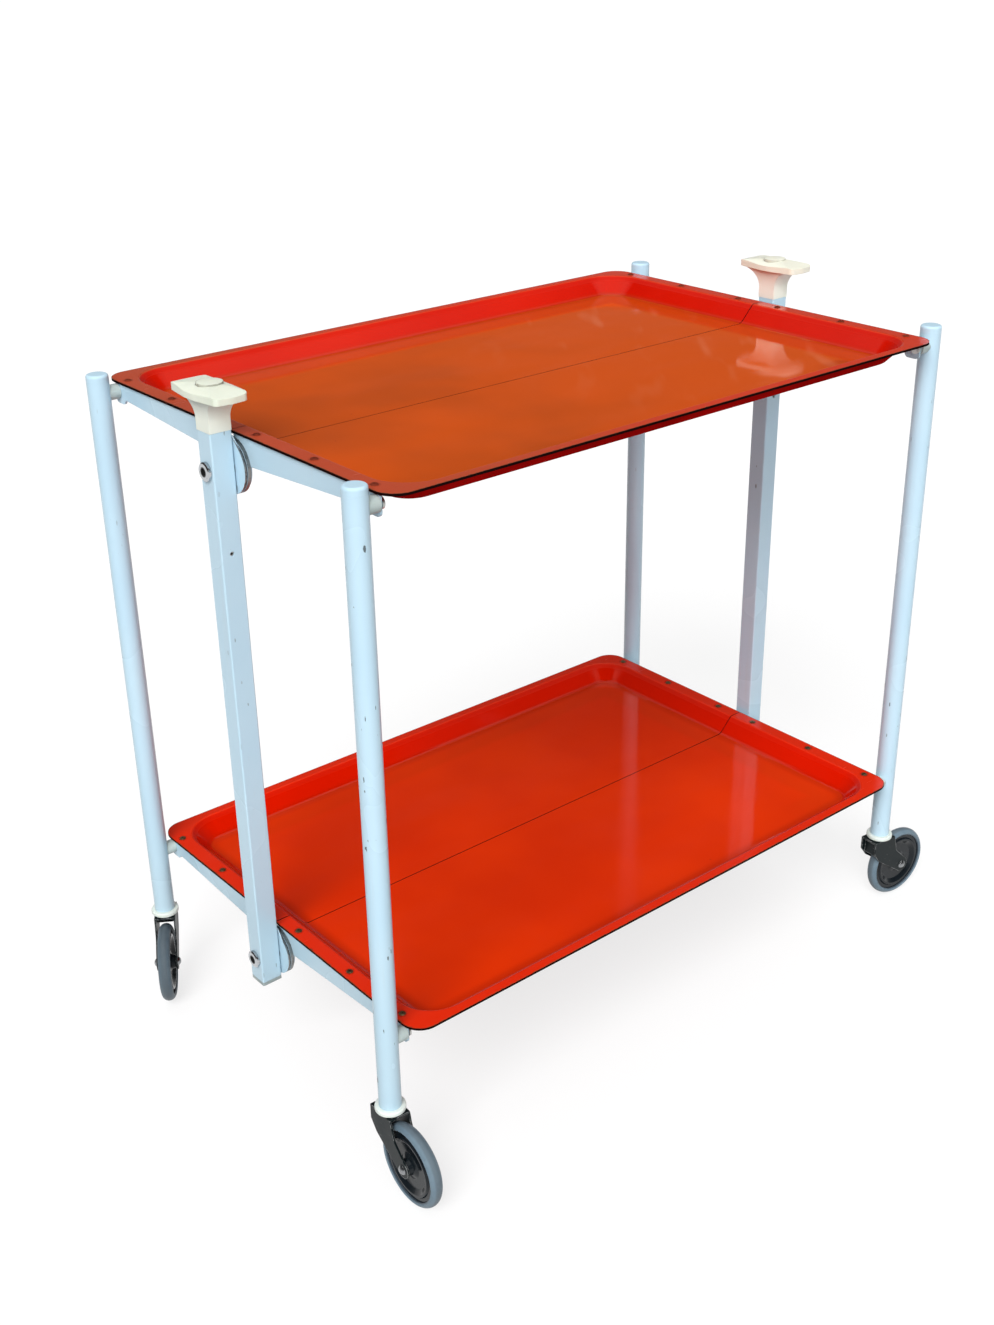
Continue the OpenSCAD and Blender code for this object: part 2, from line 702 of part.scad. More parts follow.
// Plug in the foot of a leg with the collar below it and the bore for the swivel pin.
module caster_socket() translate([leg_x, leg_y, 0]) difference() {
    union() {
        translate([0, 0, collar_z]) rotate_extrude() polygon(concat(
            [[0, 0]],
            arc([collar_d / 2 - 1.5, 1.5], 1.5, -90, 0, 4),
            arc([collar_d / 2 - 1.5, collar_h - 1.5], 1.5, 0, 90, 4),
            [[0, collar_h]]
        ));
        translate([0, 0, leg_bottom - eps]) cylinder(d = leg_bore - 2 * fit, h = socket_l);
    }
    translate([0, 0, collar_z - 1]) cylinder(d = king_d + 2 * fit, h = king_l + 2);
}

module near_caster_sockets() color(cream) for (side = [-1, 1]) to_side(side, -1) caster_socket();
module far_caster_sockets() color(cream) for (side = [-1, 1]) to_side(side, 1) caster_socket();

// ---------- casters ----------

// Places its children at a leg, turned so that the wheel trails in the direction swing.
module at_caster(sx, sy, swing)
    translate([sx * leg_x, sy * leg_y, 0]) rotate([0, 0, swing]) children();

// Side of the fork: along the trail, and up from the floor.
module fork_side() {
    tip_r = axle_d / 2 + 5.5;
    polygon([
        [-fork_back, fork_top], [-fork_back, fork_top - 15], [-fork_back / 2, wheel_r + 17],
        [trail - tip_r * sin(45), wheel_r - tip_r * cos(45)],
        [trail + tip_r * sin(62), wheel_r + tip_r * cos(62)],
        [fork_front + 5, fork_top - 20], [fork_front, fork_top]
    ]);
    translate([trail, wheel_r]) circle(tip_r);
}

module fork_body() difference() {
    web_h = 20;
    union() {
        translate([-fork_back, -fork_w / 2, fork_top - fork_t])
            cube([fork_back + fork_front, fork_w, fork_t]);
        for (y = [-fork_w / 2, fork_w / 2 - fork_t]) slab_y(y, y + fork_t) fork_side();
        // web that joins the arms ahead of the swivel pin
        translate([5 - fork_back, fork_t / 2 - fork_w / 2, fork_top - web_h])
            cube([fork_t, fork_w - fork_t, web_h - fork_t / 2]);
    }
    translate([0, 0, fork_top - 2 * fork_t]) cylinder(d = king_d, h = 3 * fork_t);
    translate([trail, 0, wheel_r]) rod_y(-fork_w, fork_w, axle_d);
}

module near_left_fork() color(fork_dark) at_caster(-1, -1, near_left_swing) fork_body();
module near_right_fork() color(fork_dark) at_caster(1, -1, near_right_swing) fork_body();
module far_left_fork() color(fork_dark) at_caster(-1, 1, far_left_swing) fork_body();
module far_right_fork() color(fork_dark) at_caster(1, 1, far_right_swing) fork_body();

// A rivet head about Z: a flat disc with a domed top.
module domed_head(d, h) intersection() {
    cylinder(d = d, h = h);
    translate([0, 0, h - d / 2 - 0.6]) sphere(d = d + 1.2);
}

module caster_pins_body() {
    king_head_t = 2.5;
    translate([0, 0, fork_top - fork_t]) cylinder(d = king_d, h = fork_t + king_l);
    translate([0, 0, fork_top - fork_t - king_head_t]) cylinder(d = king_d + 4, h = king_head_t);
    translate([trail, 0, wheel_r]) {
        rod_y(-fork_w / 2, fork_w / 2, axle_d);
        for (side = [0, 180]) rotate([0, 0, side]) translate([0, fork_w / 2, 0])
            rotate([-90, 0, 0]) domed_head(axle_d + 3.5, 3);
    }
}

module near_left_caster_pins() color(chrome) at_caster(-1, -1, near_left_swing) caster_pins_body();
module near_right_caster_pins() color(chrome) at_caster(1, -1, near_right_swing) caster_pins_body();
module far_left_caster_pins() color(chrome) at_caster(-1, 1, far_left_swing) caster_pins_body();
module far_right_caster_pins() color(chrome) at_caster(1, 1, far_right_swing) caster_pins_body();

// Places its children on a wheel's axle, turned so that Z runs along it.
module on_axle() translate([trail, 0, wheel_r]) rotate([90, 0, 0]) children();

// Hub section: radius, and distance from the wheel's middle plane.
module hub_body() on_axle() {
    hub_r = hub_d / 2;
    boss_w = fork_w / 2 - fork_t - slip;
    bore_r = axle_d / 2 + fit;
    dish = 2.2;
    rim = tyre_w / 2 - 1.2;
    half = [
        [bore_r, boss_w], [bore_r + 3.5, boss_w], [bore_r + 5, dish + 2], [hub_r * 0.38, dish],
        [hub_r * 0.66, dish], [hub_r * 0.79, rim], [hub_r * 0.85, rim], [hub_r * 0.89, rim - 1.8],
        [hub_r, rim - 1.8]
    ];
    other = [for (i = [len(half) - 1:-1:0]) [half[i][0], -half[i][1]]];
    rotate_extrude() polygon(concat(half, other));
}

module near_left_hub() color(hub_dark) at_caster(-1, -1, near_left_swing) hub_body();
module near_right_hub() color(hub_dark) at_caster(1, -1, near_right_swing) hub_body();
module far_left_hub() color(hub_dark) at_caster(-1, 1, far_left_swing) hub_body();
module far_right_hub() color(hub_dark) at_caster(1, 1, far_right_swing) hub_body();

// Tyre section: round outside, drawn in to a narrower foot on the hub.
module tyre_body() on_axle() rotate_extrude() intersection() {
    hub_r = hub_d / 2;
    foot = tyre_w / 2 - 1.8;
    lean = 0.7 * tyre_w;
    translate([wheel_r - tyre_w / 2, 0]) circle(tyre_w / 2);
    polygon([
        [hub_r, -foot], [hub_r + tyre_w, -foot - lean],
        [hub_r + tyre_w, foot + lean], [hub_r, foot]
    ]);
}

module near_left_tyre() color(rubber) at_caster(-1, -1, near_left_swing) tyre_body();
module near_right_tyre() color(rubber) at_caster(1, -1, near_right_swing) tyre_body();
module far_left_tyre() color(rubber) at_caster(-1, 1, far_left_swing) tyre_body();
module far_right_tyre() color(rubber) at_caster(1, 1, far_right_swing) tyre_body();

left_post();
right_post();
left_handle();
right_handle();
post_end_caps();
pivot_bolts();
pivot_nuts();
pivot_washers();
roll_pins();
left_button();
right_button();
left_latch_bar();
right_latch_bar();
left_spring();
right_spring();
upper_near_tray();
upper_far_tray();
lower_near_tray();
lower_far_tray();
upper_near_left_arm();
upper_near_right_arm();
upper_far_left_arm();
upper_far_right_arm();
lower_near_left_arm();
lower_near_right_arm();
lower_far_left_arm();
lower_far_right_arm();
upper_near_rivets();
upper_far_rivets();
lower_near_rivets();
lower_far_rivets();
near_left_leg();
near_right_leg();
far_left_leg();
far_right_leg();
near_leg_caps();
far_leg_caps();
near_leg_pins();
far_leg_pins();
near_leg_bushes();
far_leg_bushes();
near_caster_sockets();
far_caster_sockets();
near_left_fork();
near_right_fork();
far_left_fork();
far_right_fork();
near_left_caster_pins();
near_right_caster_pins();
far_left_caster_pins();
far_right_caster_pins();
near_left_hub();
near_right_hub();
far_left_hub();
far_right_hub();
near_left_tyre();
near_right_tyre();
far_left_tyre();
far_right_tyre();
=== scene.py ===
import math

import bpy
from mathutils import Matrix, Vector


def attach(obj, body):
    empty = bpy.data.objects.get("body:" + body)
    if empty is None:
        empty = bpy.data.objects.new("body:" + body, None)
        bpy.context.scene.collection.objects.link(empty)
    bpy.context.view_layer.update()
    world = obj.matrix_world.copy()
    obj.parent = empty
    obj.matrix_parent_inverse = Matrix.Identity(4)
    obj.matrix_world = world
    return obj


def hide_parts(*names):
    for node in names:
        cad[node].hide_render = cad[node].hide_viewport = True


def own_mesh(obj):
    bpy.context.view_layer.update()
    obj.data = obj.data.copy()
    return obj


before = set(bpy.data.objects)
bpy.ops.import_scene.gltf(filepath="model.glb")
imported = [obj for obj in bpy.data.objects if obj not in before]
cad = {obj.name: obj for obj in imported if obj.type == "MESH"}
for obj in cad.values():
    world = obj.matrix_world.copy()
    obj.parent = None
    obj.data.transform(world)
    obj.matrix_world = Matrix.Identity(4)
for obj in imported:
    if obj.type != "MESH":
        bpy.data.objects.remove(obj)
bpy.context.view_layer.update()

# Sizes of the trolley, in metres, as the frame has them. X runs along it, Y across it, Z up.
TRAY_X, TRAY_Y, CORNER_R = 0.322, 0.220, 0.020
FLOOR_X, FLOOR_Y, FLOOR_R = TRAY_X - 0.0360, TRAY_Y - 0.0305, 0.017
UPPER_RIM, LOWER_RIM, FLOOR_DEPTH = 0.650, 0.167, 0.0175
BETWEEN_TRAYS = 0.4
RIVET_X, RIVET_YS = 0.3138, (0.027, 0.110, 0.189)
POST_X, LEG_X, LEG_Y = 0.33675, 0.3385, 0.199
UPPER_PIVOT, LOWER_PIVOT = 0.6198, 0.1368
HINGE_R, BUTTON_R, GRIP_Z = 0.0240, 0.0110, 0.6825
TRAIL, AXLE_Z, TYRE_R, HUB_R = 0.030, 0.040, 0.040, 0.0335
SPRING_Z0, SPRING_Z1, BUTTON_TRAVEL = 0.5498, 0.5758, 0.006
SWINGS = {"near_left": (-1, -1, -91.5), "near_right": (1, -1, -5.0),
          "far_left": (-1, 1, -123.0), "far_right": (1, 1, 90.0)}

# ---------- camera ----------

CAMERA_AT = (-0.952655, -1.106872, 1.041877)
YAW, PITCH, ROLL = 0.686472, 0.450331, 0.018429
LENS = 43.4306


def make_camera():
    forward = Vector((math.sin(YAW) * math.cos(PITCH), math.cos(YAW) * math.cos(PITCH), -math.sin(PITCH)))
    level = Vector((math.cos(YAW), -math.sin(YAW), 0.0))
    down = forward.cross(level)
    right = math.cos(ROLL) * level + math.sin(ROLL) * down
    down = -math.sin(ROLL) * level + math.cos(ROLL) * down
    data = bpy.data.cameras.new("camera")
    data.lens = LENS
    data.sensor_width = 36.0
    data.sensor_fit = "AUTO"
    data.clip_start, data.clip_end = 0.01, 200.0
    camera = bpy.data.objects.new("camera", data)
    axes = Matrix((right, -down, -forward)).transposed().to_4x4()
    camera.matrix_world = Matrix.Translation(CAMERA_AT) @ axes
    bpy.context.scene.collection.objects.link(camera)
    bpy.context.scene.camera = camera


# ---------- node trees ----------


class Shader:
    """Builds the node tree of one material, one call for each node."""

    def __init__(self, name, **settings):
        self.material = bpy.data.materials.new(name)
        self.material.use_nodes = True
        self.tree = self.material.node_tree
        self.tree.nodes.clear()
        self.surface = self.node("ShaderNodeBsdfPrincipled")
        output = self.node("ShaderNodeOutputMaterial")
        self.tree.links.new(self.surface.outputs[0], output.inputs["Surface"])
        for key, value in settings.items():
            self.put(self.surface.inputs[key.replace("_", " ")], value)

    def node(self, kind, **settings):
        node = self.tree.nodes.new(kind)
        for key, value in settings.items():
            setattr(node, key, value)
        return node

    def put(self, socket, value):
        if isinstance(value, bpy.types.NodeSocket):
            self.tree.links.new(value, socket)
        elif isinstance(value, (tuple, list)) and len(value) == 3 and socket.type == "RGBA":
            socket.default_value = (*value, 1.0)
        else:
            socket.default_value = value

    def set(self, key, value):
        self.put(self.surface.inputs[key], value)

    def place(self):
        """The point of the surface in the frame at rest, in metres, which moves with its body."""
        return self.node("ShaderNodeTexCoord").outputs["Object"]

    def split(self, vector):
        node = self.node("ShaderNodeSeparateXYZ")
        self.put(node.inputs[0], vector)
        return node.outputs[0], node.outputs[1], node.outputs[2]

    def join(self, x, y, z):
        node = self.node("ShaderNodeCombineXYZ")
        for socket, value in zip(node.inputs, (x, y, z)):
            self.put(socket, value)
        return node.outputs[0]

    def math(self, operation, *values):
        node = self.node("ShaderNodeMath", operation=operation)
        for socket, value in zip(node.inputs, values):
            self.put(socket, value)
        return node.outputs[0]

    def vector(self, operation, a, b=None, scale=None):
        node = self.node("ShaderNodeVectorMath", operation=operation)
        self.put(node.inputs[0], a)
        if b is not None:
            self.put(node.inputs[1], b)
        if scale is not None:
            self.put(node.inputs["Scale"], scale)
        scalar = operation in ("LENGTH", "DOT_PRODUCT", "DISTANCE")
        return node.outputs["Value" if scalar else "Vector"]

    def stretched(self, vector, scale):
        return self.vector("MULTIPLY", vector, scale)

    def noise(self, vector, scale, detail=3.0, roughness=0.5, distortion=0.0):
        node = self.node("ShaderNodeTexNoise")
        for key, value in (("Vector", vector), ("Scale", scale), ("Detail", detail),
                           ("Roughness", roughness), ("Distortion", distortion)):
            self.put(node.inputs[key], value)
        return node.outputs[0]

    def cells(self, vector, scale):
        """Distance to the nearest point of a scattered set, and that point's random colour."""
        node = self.node("ShaderNodeTexVoronoi", feature="F1")
        for key, value in (("Vector", vector), ("Scale", scale), ("Randomness", 1.0)):
            self.put(node.inputs[key], value)
        return node.outputs["Distance"], node.outputs["Color"]

    def fade(self, value, low, high, to_low=0.0, to_high=1.0):
        """Smooth step from to_low at low to to_high at high."""
        node = self.node("ShaderNodeMapRange", interpolation_type="SMOOTHSTEP")
        for key, number in (("Value", value), ("From Min", low), ("From Max", high),
                            ("To Min", to_low), ("To Max", to_high)):
            self.put(node.inputs[key], number)
        return node.outputs[0]

    def mix(self, share, a, b):
        node = self.node("ShaderNodeMix", data_type="RGBA", blend_type="MIX")
        for socket, value in ((node.inputs[0], share), (node.inputs[6], a), (node.inputs[7], b)):
            self.put(socket, value)
        return node.outputs[2]

    def mix_number(self, share, a, b):
        node = self.node("ShaderNodeMix", data_type="FLOAT")
        for socket, value in ((node.inputs[0], share), (node.inputs[2], a), (node.inputs[3], b)):
            self.put(socket, value)
        return node.outputs[0]

    def chain(self, operation, *values):
        """One value from many, by an operation that takes two at a time."""
        out = values[0]
        for value in values[1:]:
            out = self.math(operation, out, value)
        return out

    def most(self, *values):
        return self.chain("MAXIMUM", *values)

    def least(self, *values):
        return self.chain("MINIMUM", *values)

    def times(self, *values):
        return self.chain("MULTIPLY", *values)

    def flecks(self, vector, scale, share, size):
        """Mask of scattered flecks: share of the cells have one, up to size across in cells."""
        wander = self.vector("SCALE", self.node_noise_colour(vector, scale * 3.1), scale=0.35 / scale)
        distance, colour = self.cells(self.vector("ADD", vector, wander), scale)
        red, green, _ = self.split(colour)
        chosen = self.math("GREATER_THAN", red, 1.0 - share)
        radius = self.times(green, size)
        return self.times(chosen, self.fade(self.math("SUBTRACT", radius, distance), 0.0, 0.03))

    def node_noise_colour(self, vector, scale):
        node = self.node("ShaderNodeTexNoise")
        self.put(node.inputs["Vector"], vector)
        self.put(node.inputs["Scale"], scale)
        return self.vector("SUBTRACT", node.outputs[1], (0.5, 0.5, 0.5))

    def edges(self, radius, low=0.03, high=0.25):
        """Mask of the sharp edges, from how far a rounded edge would turn the surface."""
        bevel = self.node("ShaderNodeBevel", samples=6)
        bevel.inputs["Radius"].default_value = radius
        flat = self.node("ShaderNodeNewGeometry").outputs["Normal"]
        turn = self.math("SUBTRACT", 1.0, self.vector("DOT_PRODUCT", bevel.outputs[0], flat))
        return self.fade(turn, low, high)

    def rounded(self, radius):
        """Normal of the surface with its sharp edges rounded."""
        bevel = self.node("ShaderNodeBevel", samples=6)
        bevel.inputs["Radius"].default_value = radius
        return bevel.outputs[0]

    def bump(self, height, distance, strength=1.0, normal=None):
        node = self.node("ShaderNodeBump")
        self.put(node.inputs["Height"], height)
        node.inputs["Distance"].default_value = distance
        node.inputs["Strength"].default_value = strength
        if normal is not None:
            self.put(node.inputs["Normal"], normal)
        return node.outputs[0]


# ---------- materials ----------


def frame_enamel():
    """Bluish white stove enamel on the tubes and arms: chips, nicks, worn edges, grime."""
    s = Shader("frame_enamel")
    p = s.place()
    x, y, z = s.split(p)
    cloud = s.noise(p, 9.0, 2.0, 0.5)
    colour = s.mix(s.fade(cloud, 0.3, 0.7), (0.475, 0.665, 0.790), (0.510, 0.690, 0.800))
    streak = s.noise(s.stretched(p, (90.0, 90.0, 7.0)), 1.0, 3.0, 0.6)
    colour = s.mix(s.fade(streak, 0.58, 0.82, 0.0, 0.18), colour, (0.50, 0.57, 0.58))
    # Darker and greyer towards the bottom, most at the −X end.
    low = s.times(s.fade(z, 0.10, 0.34, 0.30, 0.0), s.fade(x, -0.20, 0.20, 1.0, 0.2))
    colour = s.mix(low, colour, (0.37, 0.50, 0.56))
    tall = s.stretched(p, (1.0, 1.0, 0.4))
    handled = s.times(s.fade(x, -0.30, -0.32), s.fade(y, -0.10, -0.15))
    busy = s.most(s.fade(s.noise(p, 5.5, 2.0), 0.46, 0.64), handled)
    chips = s.times(s.flecks(tall, 230.0, 0.075, 0.34), busy)
    nicks = s.times(s.flecks(s.stretched(p, (1.0, 1.0, 0.2)), 480.0, 0.085, 0.32), busy)
    worn = s.times(s.edges(0.0006), s.fade(s.noise(p, 160.0, 4.0, 0.6), 0.60, 0.72))
    bare = s.most(chips, nicks, worn)
    colour = s.mix(s.times(bare, 0.85), colour, (0.040, 0.042, 0.042))
    grain = s.noise(p, 700.0, 2.0, 0.5)
    s.set("Base Color", colour)
    s.set("Roughness", s.mix_number(s.math("MAXIMUM", bare, s.fade(cloud, 0.5, 0.8, 0.0, 0.4)), 0.26, 0.55))
    height = s.math("SUBTRACT", s.times(grain, 0.10), bare)
    s.set("Normal", s.bump(height, 0.00012, 1.0, s.rounded(0.0005)))
    s.set("Specular IOR Level", 0.5)
    return s.material


def tray_enamel():
    """Orange-red gloss enamel, browner on the upper tray's floor, with smears, scratches, painted reflections
    and painted shade.
    """
    s = Shader("tray_enamel")
    p = s.place()
    x, y, z = s.split(p)
    ax, ay = s.math("ABSOLUTE", x), s.math("ABSOLUTE", y)
    upper = s.math("GREATER_THAN", z, BETWEEN_TRAYS)
    depth = s.math("SUBTRACT", s.math("ADD", s.times(upper, UPPER_RIM - LOWER_RIM), LOWER_RIM), z)
    floor = s.fade(depth, FLOOR_DEPTH - 0.0006, FLOOR_DEPTH - 0.0001)
    rim = s.fade(depth, 0.0001, 0.0012, 1.0, 0.0)
    outside = beyond_outline(s, ax, ay, TRAY_X, TRAY_Y, CORNER_R)
    inside_foot = beyond_outline(s, ax, ay, FLOOR_X, FLOOR_Y, FLOOR_R)
    ragged = s.noise(p, 260.0, 3.0, 0.6)
    cloud = s.noise(p, 5.0, 3.0, 0.5)
    bright = s.mix(s.fade(cloud, 0.3, 0.7), (0.665, 0.024, 0.0), (0.765, 0.034, 0.0))
    # The upper tray's floor is darker brown towards −X and more orange towards +X.
    orange_share = s.fade(s.math("ADD", s.times(x, 0.9), cloud), 0.20, 0.60)
    upper_floor_colour = s.mix(orange_share, (0.440, 0.063, 0.004), (0.625, 0.080, 0.003))
    # Painted light: the lower tray's walls get a brighter red than the upper tray's walls, making up for the
    # shade the upper tray casts on them.
    upper_wall = s.mix(s.fade(cloud, 0.3, 0.7), (0.480, 0.004, 0.0), (0.545, 0.007, 0.0))
    wall = s.mix(upper, (0.600, 0.008, 0.0), upper_wall)
    colour = s.mix(floor, wall, s.mix(upper, bright, upper_floor_colour))
    # Painted reflection: the upper tray's rim is a pale salmon-brown towards −X, standing for the light it
    # reflects, and red towards +X.
    rim_painted_reflection = s.mix(s.fade(x, -0.30, 0.10), (0.430, 0.075, 0.028), (0.600, 0.040, 0.008))
    colour = s.mix(s.times(rim, 0.8), colour, s.mix(upper, (0.720, 0.022, 0.001), rim_painted_reflection))
    # Painted shade: a darker band on the floor in the crease at the foot of the walls.
    foot = s.times(s.fade(inside_foot, -0.0100, 0.0010), s.fade(inside_foot, 0.0025, 0.0080, 1.0, 0.0))
    colour = s.mix(s.times(foot, 0.45), colour, s.mix(upper, (0.380, 0.010, 0.0), (0.330, 0.024, 0.002)))
    # Painted shade: the floor is darker near the far walls, set against the walls' reflection in the floor.
    far_side = s.most(s.fade(y, 0.10, 0.16), s.fade(x, 0.20, 0.26))
    painted_shade_near_far_walls = s.times(s.fade(inside_foot, -0.0360, -0.0240), floor, s.mix_number(upper, 0.25, 1.0), far_side)
    colour = s.mix(s.times(painted_shade_near_far_walls, 0.62), colour, (0.420, 0.036, 0.001))
    # Painted reflection: pale streaks on the upper floor that run along the camera's view, standing for
    # reflections of the uprights.
    reflection_across = s.vector("DOT_PRODUCT", p, (0.77, -0.63, 0.0))
    reflection_along = s.vector("DOT_PRODUCT", p, (0.63, 0.77, 0.0))
    reflection_at = s.join(reflection_across, reflection_along, 0.0)
    floor_reflection_streaks = s.fade(s.noise(s.stretched(reflection_at, (30.0, 7.0, 1.0)), 1.0, 2.0, 0.5), 0.56, 0.74)
    floor_reflection_streaks = s.times(floor_reflection_streaks, floor, upper, s.fade(x, -0.05, 0.20), s.fade(ay, 0.15, 0.20, 1.0, 0.0))
    colour = s.mix(s.times(floor_reflection_streaks, 0.16), colour, (0.85, 0.38, 0.22))
    near_rivet = s.fade(beside_rivets(s, ax, ay), 0.0034, 0.0058, 1.0, 0.0)
    ring = s.times(near_rivet, s.fade(s.noise(p, 420.0, 3.0), 0.30, 0.62))
    colour = s.mix(s.times(ring, 0.55), colour, (0.10, 0.012, 0.006))
    specks = s.times(s.flecks(p, 130.0, 0.035, 0.16), s.fade(s.noise(p, 7.0, 2.0), 0.45, 0.7))
    colour = s.mix(s.times(specks, 0.6), colour, (0.13, 0.012, 0.008))
    worn_rim = s.times(s.fade(outside, -0.0014, -0.0005), s.fade(ragged, 0.36, 0.56))
    colour = s.mix(s.times(worn_rim, 0.75), colour, (0.130, 0.062, 0.022))
    rim_chips = s.times(s.fade(outside, -0.0030, -0.0006), s.fade(ragged, 0.62, 0.70))
    seam = s.fade(s.math("ADD", ay, s.times(ragged, 0.0003)), 0.00055, 0.00075, 1.0, 0.0)
    seam = s.times(seam, s.mix_number(upper, 0.8, s.fade(x, -0.15, 0.25, 0.35, 0.8)))
    dark = s.most(s.times(rim_chips, 0.8), seam)
    colour = s.mix(dark, colour, (0.030, 0.006, 0.004))
    smear = s.noise(s.stretched(p, (3.0, 9.0, 3.0)), 2.0, 5.0, 0.62, 0.8)
    fine = s.noise(s.stretched(p, (40.0, 420.0, 40.0)), 1.0, 2.0)
    rough = s.fade(smear, 0.35, 0.75, 0.06, 0.15)
    rough = s.math("ADD", rough, s.fade(fine, 0.66, 0.80, 0.0, 0.10))
    bend = s.times(s.fade(depth, 0.0001, 0.0006), s.fade(depth, 0.0030, 0.0060, 1.0, 0.0))
    rough = s.math("ADD", rough, s.most(s.times(rim, 0.12), s.times(bend, 0.40)))
    s.set("Base Color", colour)
    s.set("Roughness", s.mix_number(dark, rough, 0.5))
    s.set("Specular IOR Level", 0.40)
    s.set("Specular Tint", (1.0, 0.60, 0.42))
    ripple = s.math("ADD", s.noise(p, 14.0, 2.0), s.times(s.noise(p, 240.0, 2.0), 0.010))
    s.set("Normal", s.bump(s.math("SUBTRACT", ripple, s.times(specks, 0.03)), 0.0012, 0.25))
    return s.material


def beyond_outline(s, ax, ay, half_x, half_y, radius):
    """How far a point lies outside a rectangle with round corners, in plan."""
    qx = s.math("SUBTRACT", ax, half_x - radius)
    qy = s.math("SUBTRACT", ay, half_y - radius)
    corner = s.vector("LENGTH", s.join(s.math("MAXIMUM", qx, 0.0), s.math("MAXIMUM", qy, 0.0), 0.0))
    inner = s.math("MINIMUM", s.math("MAXIMUM", qx, qy), 0.0)
    return s.math("SUBTRACT", s.math("ADD", corner, inner), radius)


def beside_rivets(s, ax, ay):
    """Distance in plan from the middle of the nearest rivet."""
    off_x = s.math("SUBTRACT", ax, RIVET_X)
    return s.least(*[s.vector("LENGTH", s.join(off_x, s.math("SUBTRACT", ay, place), 0.0))
                     for place in RIVET_YS])


def dull_enamel(name, colour, worn, roughness):
    """Matt enamel with a rub-through of a second colour, for cut edges and undersides."""
    s = Shader(name)
    p = s.place()
    patch = s.noise(p, 150.0, 5.0, 0.65)
    cloud = s.noise(p, 16.0, 3.0, 0.5)
    deep = tuple(0.72 * c for c in colour)
    s.set("Base Color", s.mix(s.fade(patch, 0.60, 0.72), s.mix(s.fade(cloud, 0.3, 0.7), deep, colour), worn))
    s.set("Roughness", s.mix_number(patch, roughness, roughness + 0.2))
    s.set("Specular IOR Level", 0.0)
    s.set("Normal", s.bump(s.noise(p, 700.0, 3.0), 0.0001, 0.5))
    return s.material


def handle_marks(s, p, colour, tint):
    """Tints the right handle, pales the stems as painted light, and paints shade into the gap round each
    button.
    """
    x, y, z = s.split(p)
    colour = s.mix(s.fade(x, -0.1, 0.1), colour, s.mix(0.75, colour, tint))
    # Painted light: below the grip the stems are paler, standing for the front light that falls on them.
    colour = s.mix(s.fade(z, GRIP_Z - 0.004, GRIP_Z, 0.55, 0.0), colour, (0.90, 0.92, 0.84))
    # Painted shade: a dark broken line in the gap round each button, stronger on the left handle.
    from_post = s.vector("LENGTH", s.join(s.math("SUBTRACT", s.math("ABSOLUTE", x), POST_X), y, 0.0))
    off_gap = s.math("ABSOLUTE", s.math("SUBTRACT", from_post, BUTTON_R))
    on_top = s.math("GREATER_THAN", z, GRIP_Z + 0.004)
    ring = s.times(s.fade(off_gap, 0.0002, 0.0005, 1.0, 0.0), on_top, s.fade(x, -0.1, 0.1, 1.0, 0.45))
    broken = s.fade(s.noise(p, 120.0, 2.0), 0.3, 0.6, 0.35, 0.8)
    return s.mix(s.times(ring, broken), colour, (0.16, 0.15, 0.12))


def plastic(name, pale, deep, roughness, tint=None):
    """Moulded plastic: fine grain, mottling, grime in its scratches and along its edges."""
    s = Shader(name)
    p = s.place()
    cloud = s.noise(p, 38.0, 4.0, 0.6)
    colour = s.mix(s.fade(cloud, 0.32, 0.72), pale, deep)
    if tint is not None:
        colour = handle_marks(s, p, colour, tint)
    scratch =s.noise(s.stretched(p, (300.0, 900.0, 300.0)), 1.0, 2.0)
    mark = s.times(s.fade(scratch, 0.70, 0.78), s.fade(s.noise(p, 60.0, 2.0), 0.5, 0.7))
    dark_marks = s.times(s.edges(0.0008), s.fade(s.noise(p, 330.0, 3.0, 0.6), 0.52, 0.70))
    colour = s.mix(s.times(s.most(s.times(mark, 0.5), s.times(dark_marks, 0.6)), 0.55), colour,
                   tuple(0.35 * c for c in deep))
    s.set("Base Color", colour)
    s.set("Roughness", s.mix_number(s.fade(cloud, 0.3, 0.8), roughness, roughness + 0.16))
    grain = s.math("SUBTRACT", s.times(s.noise(p, 1500.0, 2.0), 0.5), mark)
    s.set("Normal", s.bump(grain, 0.00005, 0.8, s.rounded(0.0007)))
    s.set("Subsurface Weight", 0.06)
    s.set("Subsurface Radius", (0.004, 0.003, 0.002))
    s.set("Subsurface Scale", 0.5)
    return s.material


def metal(name, colour, dirt, roughness, stretch=(1.0, 1.0, 1.0), dirt_share=0.5):
    """Bare metal with a drawn grain, stains and slightly rounded edges."""
    s = Shader(name, Metallic=1.0)
    p = s.place()
    grain = s.noise(s.stretched(p, stretch), 900.0, 2.0)
    stain = s.noise(p, 210.0, 5.0, 0.65)
    stained = s.fade(stain, 0.48, 0.72, 0.0, dirt_share)
    s.set("Base Color", s.mix(stained, colour, dirt))
    s.set("Roughness", s.math("ADD", s.mix_number(stained, roughness, 0.55), s.times(grain, 0.08)))
    s.set("Normal", s.bump(s.math("ADD", grain, stain), 0.00004, 0.6, s.rounded(0.0004)))
    return s.material


